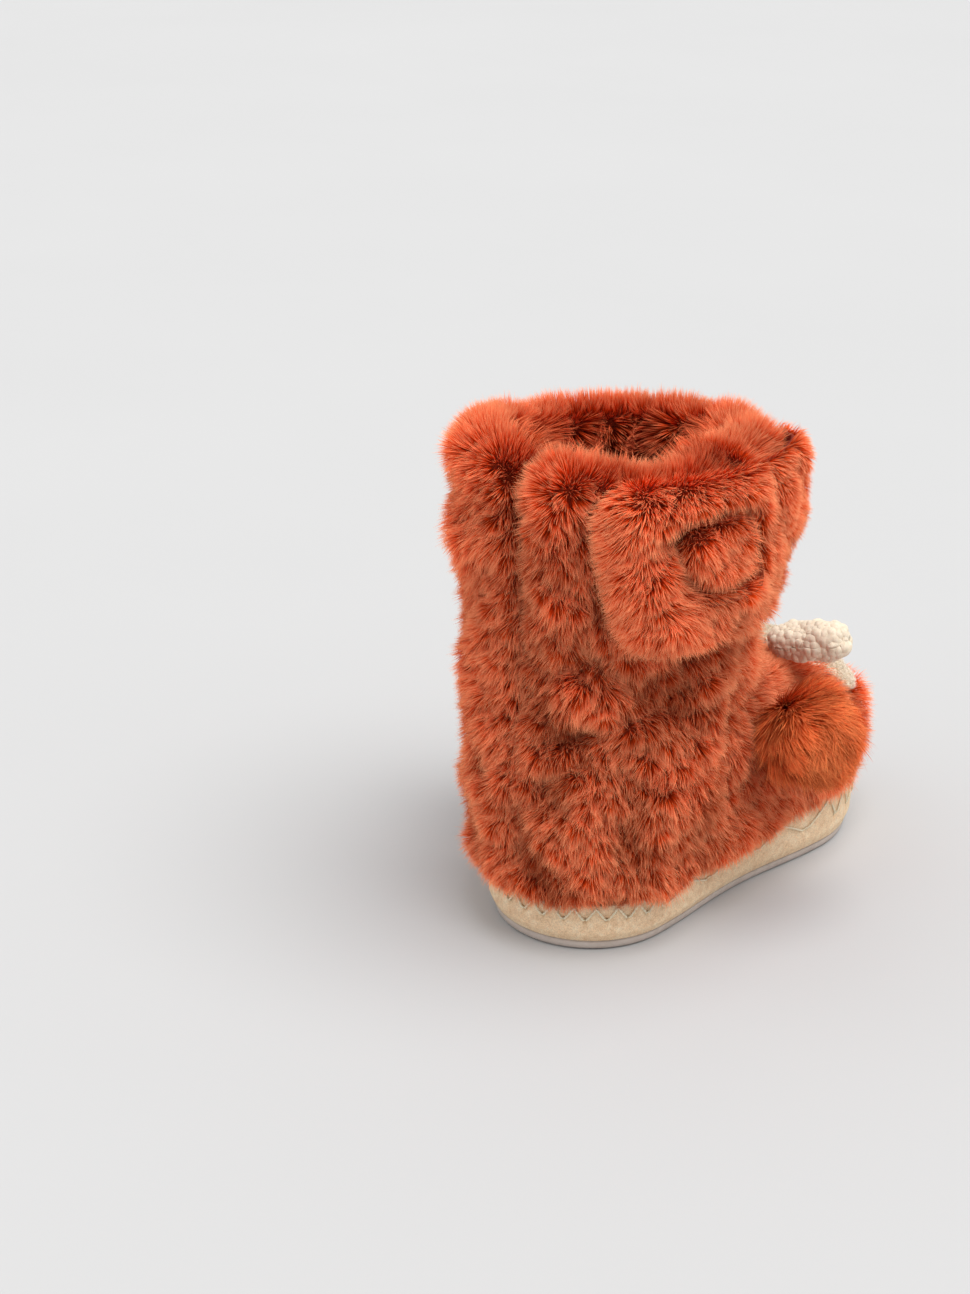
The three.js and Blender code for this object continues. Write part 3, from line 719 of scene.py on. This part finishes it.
def lining_skin(low, over_rim):
    """The inside of the bootie from a height up to the ankle seam, or from there up to the rolled rim."""
    turn = np.linspace(SIDE_SEAM, 1 + SIDE_SEAM, 330)[None, :]
    top = rim_height(turn) - RIM_ROLL_START if over_rim else np.full_like(turn, ANKLE_SEAM)
    height = low + (top - low) * np.linspace(0, 1, 60)[:, None]
    inside = FOOT_INSIDE + (SHAFT_INSIDE - FOOT_INSIDE) * smooth(ANKLE_SEAM, ANKLE_SEAM + 20, height)
    depth = LINING_ROOT - inside
    if over_rim:
        angle = np.linspace(0, math.pi - RIM_TURN, 10)[1:, None]
        arc = -RIM_MIDDLE - (SHAFT_INSIDE - LINING_ROOT - RIM_MIDDLE) * np.cos(angle)
        height = np.vstack([height, top + RIM_ROLL_UP * np.sin(angle)])
        depth = np.vstack([depth, np.broadcast_to(arc, (len(angle), turn.shape[1]))])
    turns = np.broadcast_to(turn, height.shape)
    places = form_point(turns, level_at(height))
    seam = 1.8 * bump(signed_turn(turns) * per_turn(turns, height), 2.0)
    relief = 0.8 * waves(places, 20, 31) + seam
    skin = Skin(on_form(turns, height, depth + relief), inward=True)
    above = height - top
    # Painted shade: the lining is darker deep inside the bootie and lighter near the rim, and darker in the
    # back seam's groove.
    skin.tone = 0.3 + 0.12 * waves(places, 18, 32) - 0.1 * seam + 0.35 * smooth(-25, 0, above)
    skin.lean = upright_at_rim(above, 12)
    return skin


def shaft_lining():
    node = "shaft_lining"
    skin = lining_skin(ANKLE_SEAM + 0.3, True)
    settle(skin.shell(f"{node}_backing", 2.4), node, backing)
    fur = pile(f"{node}_pile", skin, DENSITY * 0.5, 8.0, 0.3, 31, root=0.3, tip=0.8, clump=2.2, pull=0.35,
               mess=0.45)
    settle(fur, node, lining_pile)


def foot_lining():
    node = "foot_lining"
    skin = lining_skin(18.5, False)
    settle(skin.shell(f"{node}_backing", 2.0), node, backing)
    fur = pile(f"{node}_pile", skin, DENSITY * 0.25, 5.0, 0.6, 32, root=0.6, tip=1.4, clump=3.0, pull=0.5,
               mess=0.35)
    settle(fur, node, lining_pile)


shaft_lining()
foot_lining()


# ---------------------------------------------------------------- closure strap

# The strap's free end and sewn end, as turns, and its height from the CAD.
STRAP_END = 0.082
STRAP_ROOT = 0.455
STRAP_MEASURED_AT = 0.157
STRAP_LOW, STRAP_HIGH = (corner.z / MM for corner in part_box("closure_strap"))
STRAP_CORNER = 9
STRAP_SHOULDER = 6

# The sewn rounded rectangle that dents the strap's pile: its centre, half sizes and groove.
STITCH_FROM_END = 28.5
STITCH_HEIGHT = STRAP_LOW + 28
STITCH_HALF = (11.5, 11)
GROOVE_DEPTH = 5.5
GROOVE_WIDTH = 2.1


def strap_grid():
    """Turns along the strap, closer at its free end, and heights across it, with its corners rounded off."""
    free_end = 0.12 * (1 - np.cos(np.linspace(0, np.pi / 2, 24)))
    along = np.concatenate([free_end, np.linspace(0.125, 1, 150)])
    turn = (STRAP_END + (STRAP_ROOT - STRAP_END) * along)[None, :]
    per_mm = 1 / per_turn(np.array([STRAP_MEASURED_AT]), (STRAP_LOW + STRAP_HIGH) / 2)[0]
    from_end = (turn - STRAP_END) / per_mm
    from_root = (STRAP_ROOT - turn) / per_mm
    short = np.maximum(STRAP_CORNER - from_end, 0)
    half = (STRAP_HIGH - STRAP_LOW) / 2 - STRAP_CORNER + np.sqrt(STRAP_CORNER**2 - short**2)
    across = -np.cos(np.linspace(0, np.pi, 90))[:, None]
    drop = STRAP_SHOULDER * (1 - smooth(0, 40, from_root)) * (1 + across) / 2
    height = (STRAP_LOW + STRAP_HIGH) / 2 + half * across - drop
    dome = (1 - abs(across) ** 5) ** 0.4 * (1 - np.clip(1 - from_end / 9, 0, 1) ** 3) ** 0.5
    return np.broadcast_arrays(turn, height, from_end, from_root, dome)


def stitch_outline(from_end, height):
    """0 at the centre of the sewn outline, 1 on it and more outside it."""
    along = abs(from_end - STITCH_FROM_END) / STITCH_HALF[0]
    across = abs(height - STITCH_HEIGHT) / STITCH_HALF[1]
    return (along**3 + across**3) ** (1 / 3)


def strap_relief(from_end, height, away, groove):
    """The groove of the stitching, the cushion inside it, the thick free edge and top, and the slack foot."""
    cushion = 1.6 * (away < 1) * (1 - away**2)
    free_edge = 3.2 * bump(from_end - 8, 6)
    top = 2.2 * bump(height - STRAP_HIGH + 5, 5) * (1 - smooth(35, 60, from_end))
    foot = 2.2 * bump(height - STRAP_LOW - 8, 7) * smooth(16, 26, from_end)
    return cushion + free_edge + top - foot - GROOVE_DEPTH * groove


def strap_skin():
    """The strap's outer face, and the grid of its inner face."""
    turn, height, from_end, from_root, dome = strap_grid()
    inner = 0.35 + 2.3 * smooth(0, 27, from_root)
    slim = smooth(40, 65, from_end)
    thickness = 1.6 + 3.4 * smooth(0, 18, from_root) - 1.6 * slim - PILE_ROOT * 0.6
    away = stitch_outline(from_end, height)
    groove = bump((away - 1) * STITCH_HALF[1], GROOVE_WIDTH)
    places = on_form(turn, height, 5)
    lumps = 0.7 * waves(places, 15, 41) + 0.4 * waves(places, 7, 42)
    relief = strap_relief(from_end, height, away, groove) + lumps
    face = Skin(on_form(turn, height, inner + 0.8 + (thickness + relief) * dome))
    mottle = 0.08 * waves(places, 16, 43) + 0.06 * waves(places, 5, 44)
    # -0.3 * groove and 0.06 * relief are painted shade: darker in the stitched groove and the low parts,
    # lighter on the raised cushion and edges.
    face.tone = 0.66 - 0.3 * groove + 0.06 * relief + mottle
    face.density = 1 - 0.6 * groove
    face.length = 1.0 - 0.7 * groove - 0.3 * slim
    towards_root = unit(np.gradient(face.points, axis=1))
    face.nap = unit(face.nap - 0.9 * towards_root * bump(from_end - 2, 8)[..., None])
    return face, on_form(turn, height, inner)


def closure_strap():
    node = "closure_strap"
    face, inside = strap_skin()
    cloth = slab_mesh(f"{node}_backing", face.points, inside)
    settle(cloth, node, backing)
    fur = pile(f"{node}_pile", face, DENSITY, 5.2, 0.2, 41, root=0.25, tip=0.9, clump=1.3, pull=0.22,
               mess=0.5)
    settle(fur, node, rust_pile)


closure_strap()


# ---------------------------------------------------------------- fleece face, ears and pom-poms

def lathe_points(centre, axis, profile, columns):
    """A grid of points round an axis, from a list of (radius, distance along)."""
    reference = (0.0, 0.0, 1.0) if abs(axis[2]) < 0.9 else (0.0, 1.0, 0.0)
    one = unit(np.cross(axis, reference))
    two = np.cross(axis, one)
    angle = -np.linspace(0, 2 * np.pi, columns)[None, :, None]
    radius, along = np.array(profile).T[:, :, None, None]
    return centre + axis * along + radius * (one * np.cos(angle) + two * np.sin(angle))


def fleece(name, skin, seed):
    """Short curled pile."""
    return pile(name, skin, DENSITY * 0.6, 1.5, 0.2, seed, root=0.1, tip=0.5, clump=1.1, pull=0.25, mess=1.2,
                sections=4, curl=0.35)


FACE_LOW, FACE_HIGH = 40.0, 62.0
FACE_HALF_TURN = 0.155
FACE_ROUNDING = 0.425


def face_patch():
    """A rounded patch of fleece over the top of the toe."""
    node = "face_patch"
    top, bottom = level_at(FACE_HIGH), level_at(FACE_LOW)
    y, x = np.meshgrid(np.linspace(-1, 1, 100), np.linspace(-1, 1, 160), indexing="ij")
    across = x * np.sqrt(1 - FACE_ROUNDING * y * y)
    up = y * np.sqrt(1 - FACE_ROUNDING * x * x)
    level = (top + bottom) / 2 + up * (top - bottom) / 2
    turn = 0.5 + across * FACE_HALF_TURN
    height = np.interp(level, LEVELS, HEIGHTS)
    dome = ((1 - x**4) * (1 - y**4)) ** 0.5
    places = on_form(turn, height, 1.0)
    lumps = 0.3 * waves(places, 2.6, 51) + 0.3 * waves(places, 9, 52)
    skin = Skin(on_form(turn, height, 0.4 + (1.8 + lumps) * dome))
    skin.tone = 0.7 + 0.12 * waves(skin.points, 3.0, 53)
    cloth = slab_mesh(f"{node}_backing", skin.points, on_form(turn, height, -1.5))
    settle(cloth, node, fleece_backing)
    settle(fleece(f"{node}_fleece", skin, 51), node, fleece_pile)


def ear_axis(node):
    """The base, the direction and the length of an ear's roll, from its CAD mesh."""
    places = np.array([v.co for v in frame["nodes"][node].data.vertices]) / MM
    middle = places.mean(0)
    _, _, axes = np.linalg.svd(places - middle)
    axis = axes[0] * (1 if axes[0][0] * middle[0] > 0 else -1)
    along = (places - middle) @ axis
    return middle + axis * along.min(), axis, along.max() - along.min()


EAR_BASE_RADIUS = 3.6
EAR_FLARE = 1.6


def ear(label, seed):
    """A stuffed roll of fleece with round ends, wider at its tip."""
    node = f"ear_{label}"
    base, axis, length = ear_axis(node)
    share = np.linspace(0, 1, 110)
    radius = EAR_BASE_RADIUS + EAR_FLARE * smooth(0, 0.45, share)
    ends = np.maximum((share - 0.8) / 0.2, (0.15 - share) / 0.15)
    radius = radius * np.sqrt(1 - np.clip(ends, 0, 1) ** 2 * 0.995)
    points = lathe_points(base, axis, list(zip(radius, share * length)), 120)
    lumps = 0.2 * waves(points, 2.2, seed) + 0.35 * waves(points, 7, seed + 1)
    skin = Skin(points + Skin(points).normals * lumps[..., None])
    # Painted shade: the fleece is darker in the hollows between the lumps and lighter on their tops.
    skin.tone = 0.45 + 0.3 * lumps
    settle(skin.shell(f"{node}_backing", 1.2), node, fleece_backing)
    settle(fleece(f"{node}_fleece", skin, seed), node, fleece_pile)


POMPOM_CORE = 11.0
POMPOM_ROWS, POMPOM_COLUMNS = 24, 48


def pompom(label, seed):
    """A ball of yarn, combed outward and down from its tie."""
    node = f"pompom_{label}"
    low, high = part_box(node)
    centre = np.array((low + high) / 2) / MM
    angle = np.linspace(0.02, np.pi - 0.02, POMPOM_ROWS)
    profile = [(POMPOM_CORE * math.sin(a), -POMPOM_CORE * math.cos(a)) for a in angle]
    core = lathe_points(centre, np.array((0.0, 0.0, 1.0)), profile, POMPOM_COLUMNS)
    skin = Skin(core)
    if ((core - centre) * skin.normals).sum() < 0:
        skin.normals = -skin.normals
    ball = make_mesh(f"{node}_core", core.reshape(-1, 3), grid_faces(POMPOM_ROWS, POMPOM_COLUMNS, False))
    settle(ball, node, backing)
    skin.nap = np.broadcast_to((math.copysign(0.8, centre[0]), 0.0, -0.6), core.shape).copy()
    skin.tone = 0.45 + 0.25 * waves(core, 6, seed)
    yarn = pile(f"{node}_yarn", skin, DENSITY * 1.6, 9.5, 0.28, seed, root=2.0, tip=4.0, clump=2.4, pull=0.3,
                mess=0.5, sections=4)
    settle(yarn, node, yarn_pile)


face_patch()
for label, seed in (("lateral", 61), ("medial", 71)):
    ear(label, seed)
    pompom(label, seed + 5)


# ---------------------------------------------------------------- sole

def suede_material():
    shader = Shader("suede", roughness=0.95, specular=0.15, sheen=0.3, sheen_tint=linear(240, 225, 195))
    coarse = shader.noise(420.0, 6.0, 0.7)
    fine = shader.noise(2600.0, 3.0, 0.6)
    mottle = shader.ramp(coarse, [(0.3, linear(228, 188, 148)), (0.5, linear(244, 212, 174)),
                                  (0.72, linear(253, 233, 202))])
    nap = shader.ramp(fine, [(0.35, grey(0.78)), (0.65, grey(1.08))])
    shader.colour(shader.multiply(mottle, nap))
    return shader.relief(fine, 0.25 * MM).material


suede = suede_material()
rubber = plain_material("pale_rubber", linear(182, 168, 158), linear(198, 185, 176), scale=300.0,
                        roughness=0.6, bump_mm=0.05)
thread = plain_material("cream_thread", linear(222, 208, 176), linear(243, 234, 210), scale=3000.0,
                        bump_mm=0.05)

STITCH_LOW = 10.5
STITCH_SPACING = 10.5
OUTSOLE_THICKNESS = 3
RAND_FOOT = 3.3
RAND_INSIDE = 2.2
THREAD_RADIUS = 0.36
THREAD_STAND = 0.8


def count_stitches():
    """As many stitches as fit round the sole."""
    outline_points = np.stack(sole_point(np.linspace(0, 1, 481)), 1)
    perimeter = np.linalg.norm(np.diff(outline_points, axis=0), axis=1).sum()
    return round(perimeter / STITCH_SPACING)


STITCHES = count_stitches()


def ring_quads(rows, columns, closed):
    """The quads between rings of points, and from the last ring to the first if the section is closed."""
    i, j = np.meshgrid(np.arange(rows if closed else rows - 1), np.arange(columns), indexing="ij")
    k, m = (i + 1) % rows, (j + 1) % columns
    corners = [i * columns + j, i * columns + m, k * columns + m, k * columns + j]
    return np.stack(corners, -1).reshape(-1, 4)


def sole_rings(inset, height):
    """Points round the sole's outline. Each ring has its row of insets and of heights."""
    columns = inset.shape[1]
    x, y = sole_point(np.broadcast_to(np.arange(columns) / columns, inset.shape), inset)
    return np.stack([x, y, height], -1).reshape(-1, 3)


def suede_rand():
    """The side wall of the sole, bulging a little, with a hole and a pucker at each low stitch."""
    rows, columns = 26, 960
    turn = np.arange(columns)[None, :] / columns
    top = hem_height(sole_point(turn)[1])
    share = np.linspace(0, 1, rows)[:, None]
    height = RAND_FOOT + (top - RAND_FOOT) * share
    bulge = 0.5 * np.sin(np.pi * share) - 0.9 * (1 - smooth(0, 0.22, share))
    from_stitch = ((turn * STITCHES + 0.5) % 1 - 0.5) * STITCH_SPACING
    hole = 1.1 * bump(from_stitch, 0.7) * bump(height - STITCH_LOW, 0.8)
    pucker = 0.35 * bump(from_stitch, 2.5) * bump(height - STITCH_LOW, 3.0)
    outer = hole + pucker - bulge
    inset = np.vstack([outer, np.full_like(outer, RAND_INSIDE)])
    points = sole_rings(inset, np.vstack([height, height[::-1]]))
    band = make_mesh("suede_band", points, ring_quads(2 * rows, columns, True))
    settle(band, "suede_rand", suede)


# The outsole's section from its bottom face to its top one, as insets and heights.
OUTSOLE_SECTION = ((8, 0), (3, 0), (2.4, 0.05), (1.7, 0.4), (1.4, 1.1), (1.3, 2.2), (1.6, 2.8),
                   (2.0, OUTSOLE_THICKNESS), (8, OUTSOLE_THICKNESS))


def outsole():
    """A flat plate with a rounded edge, closed by a fan of triangles above and one below."""
    columns = 480
    section = np.array(OUTSOLE_SECTION, float)
    inset, height = (np.repeat(side[:, None], columns, axis=1) for side in section.T)
    points = np.vstack([sole_rings(inset, height), (0, 0, OUTSOLE_THICKNESS), (0, 0, 0)])
    quads = ring_quads(len(section), columns, False)
    rim = np.arange(columns)
    after = (rim + 1) % columns
    last = (len(section) - 1) * columns
    top, bottom = np.full(columns, len(points) - 2), np.full(columns, len(points) - 1)
    above = np.stack([last + rim, last + after, top], 1)
    below = np.stack([after, rim, bottom], 1)
    plate = make_mesh("outsole_plate", points, np.vstack([quads[:, :3], quads[:, [0, 2, 3]], above, below]))
    settle(plate, "outsole", rubber)


def twisted_thread(name, path, radius):
    """A mesh of two plies wound round a closed path of points."""
    tangent = unit(np.roll(path, -1, axis=0) - np.roll(path, 1, axis=0))
    length = np.concatenate([[0], np.cumsum(np.linalg.norm(np.diff(path, axis=0), axis=1))])
    out = unit(path * (1, 0.4, 0))
    side = unit(np.cross(tangent, out))
    out = np.cross(side, tangent)
    sides = 6
    ring = 2 * np.pi * np.arange(sides) / sides
    ring_offset = side[:, None] * np.cos(ring)[None, :, None] + out[:, None] * np.sin(ring)[None, :, None]
    turns = max(round(length[-1] / (radius * 7)), 1)
    vertices = []
    for ply in (0, 1):
        angle = (2 * np.pi * turns * length / length[-1] + np.pi * ply)[:, None]
        middle = path + 0.45 * radius * (side * np.cos(angle) + out * np.sin(angle))
        vertices.append((middle[:, None] + 0.6 * radius * ring_offset).reshape(-1, 3))
    quads = ring_quads(len(path), sides, True)
    return make_mesh(name, np.vstack(vertices), np.vstack([quads, quads + len(path) * sides]))


def rand_stitching():
    """One thread zigzags round the sole between the rand's holes and the fur's edge."""
    steps = 20
    turn = np.arange(2 * STITCHES * steps) / (2 * STITCHES * steps)
    up = 1 - abs((turn * 2 * STITCHES) % 2 - 1)
    _, y = sole_point(turn)
    height = STITCH_LOW + (hem_height(y) - 0.6 - STITCH_LOW) * up
    x, y = sole_point(turn, 1.2 * bump(up, 0.12) - THREAD_STAND)
    zigzag = twisted_thread("band_stitching", np.stack([x, y, height], 1), THREAD_RADIUS)
    settle(zigzag, "rand_stitching", thread)


suede_rand()
outsole()
rand_stitching()


# ---------------------------------------------------------------- parts that barely show

EDGE_ROUNDING = 0.4 * MM


def refined(node, name, material):
    """A copy of a CAD node with rounded edges."""
    obj = frame["nodes"][node].copy()
    obj.data = obj.data.copy()
    obj.name = name
    for key in list(obj.keys()):
        del obj[key]
    obj.parent = None
    bpy.context.scene.collection.objects.link(obj)
    obj.hide_render = obj.hide_viewport = False
    obj.data.materials.clear()
    bevel = obj.modifiers.new("round", "BEVEL")
    bevel.width = EDGE_ROUNDING
    bevel.segments = 2
    settle(obj, node, material)


white_foam = plain_material("white_foam", linear(214, 208, 198), linear(232, 227, 218), bump_mm=0.1)
board = plain_material("fibreboard", linear(168, 148, 118), linear(196, 176, 145), bump_mm=0.05)
batting = plain_material("batting", linear(228, 224, 216), linear(246, 244, 238), bump_mm=0.4)
loops = plain_material("loop_tape", linear(104, 42, 22), linear(140, 62, 36), scale=1500.0, bump_mm=0.3)
hooks = plain_material("hook_tape", linear(90, 38, 22), linear(120, 54, 34), scale=2500.0, bump_mm=0.3)
rust_thread = plain_material("rust_thread", linear(120, 44, 20), linear(160, 66, 34), scale=3000.0,
                             bump_mm=0.05)

refined("midsole_foam", "midsole_foam_pad", white_foam)
refined("insole_board", "insole_board_sheet", board)
refined("shaft_wadding", "shaft_wadding_pad", batting)
refined("quarter_loop_patch", "loop_tape_patch", loops)
refined("strap_hook_patch", "hook_tape_patch", hooks)
refined("strap_stitching", "strap_seam", rust_thread)
refined("footbed", "footbed_pad", backing)
for label in ("lateral", "medial"):
    refined(f"ear_stuffing_{label}", f"ear_filling_{label}", batting)
    refined(f"pompom_tie_{label}", f"pompom_knot_{label}", rust_thread)


# ---------------------------------------------------------------- stage, light and camera

FLOOR_HALF = 60000.0
FLOOR_GAP = 0.3
WORLD_STRENGTH = 0.68

# Name, azimuth and elevation in degrees, width of the soft source in degrees, and strength.
LAMPS = (("key", 278, 70, 50, 2.4), ("fill", 150, 35, 80, 0.4))

AZIMUTH, ELEVATION = 221.0, 23.5
DISTANCE = 0.68
FRAME_HEIGHT = 0.396
SENSOR = 36

# The middle of the heel's arc on the floor, in metres, and where it lies from the middle of the view.
HEEL = Vector((0, (SOLE_LENGTH / 2 - SOLE_RADII[0]) * MM, 0))
HEEL_RIGHT, HEEL_UP = 0.0315, -0.0777


def view_direction(azimuth, elevation):
    """Where a camera stands that looks from an azimuth and elevation, as a direction."""
    a, e = math.radians(azimuth), math.radians(elevation)
    return Vector((math.sin(a) * math.cos(e), -math.cos(a) * math.cos(e), math.sin(e)))


def place(name, data, direction):
    """Adds a lamp or a camera that looks against a direction."""
    obj = bpy.data.objects.new(name, data)
    obj.rotation_mode = "QUATERNION"
    obj.rotation_quaternion = direction.to_track_quat("Z", "Y")
    bpy.context.scene.collection.objects.link(obj)
    return obj


def stage():
    """A pale floor, an even white sky and the lamps."""
    corners = np.array([[-1, -1, 0], [1, -1, 0], [1, 1, 0], [-1, 1, 0]]) * FLOOR_HALF - (0, 0, FLOOR_GAP)
    floor = make_mesh("floor", corners, [[0, 1, 2, 3]])
    floor.data.materials.append(plain_material("paper", grey(0.54), grey(0.55), scale=3.0, bump_mm=0.0))
    world = bpy.data.worlds.new("studio")
    world.use_nodes = True
    world.node_tree.nodes["Background"].inputs["Color"].default_value = grey(1.0)
    world.node_tree.nodes["Background"].inputs["Strength"].default_value = WORLD_STRENGTH
    bpy.context.scene.world = world
    for name, azimuth, elevation, width, strength in LAMPS:
        lamp = bpy.data.lights.new(name, "SUN")
        lamp.angle = math.radians(width)
        lamp.energy = strength
        place(name, lamp, view_direction(azimuth, elevation))
    view = bpy.context.scene.view_settings
    view.view_transform = "Standard"
    view.look = "None"


def camera():
    """A camera that sees the heel where HEEL_RIGHT and HEEL_UP say."""
    back = view_direction(AZIMUTH, ELEVATION)
    right = Vector((math.cos(math.radians(AZIMUTH)), math.sin(math.radians(AZIMUTH)), 0))
    up = back.cross(right)
    data = bpy.data.cameras.new("camera")
    data.sensor_fit = "VERTICAL"
    data.sensor_width = data.sensor_height = SENSOR
    data.lens = SENSOR * DISTANCE / FRAME_HEIGHT
    obj = place("camera", data, back)
    obj.location = HEEL - right * HEEL_RIGHT - up * HEEL_UP + back * DISTANCE
    bpy.context.scene.camera = obj


stage()
camera()
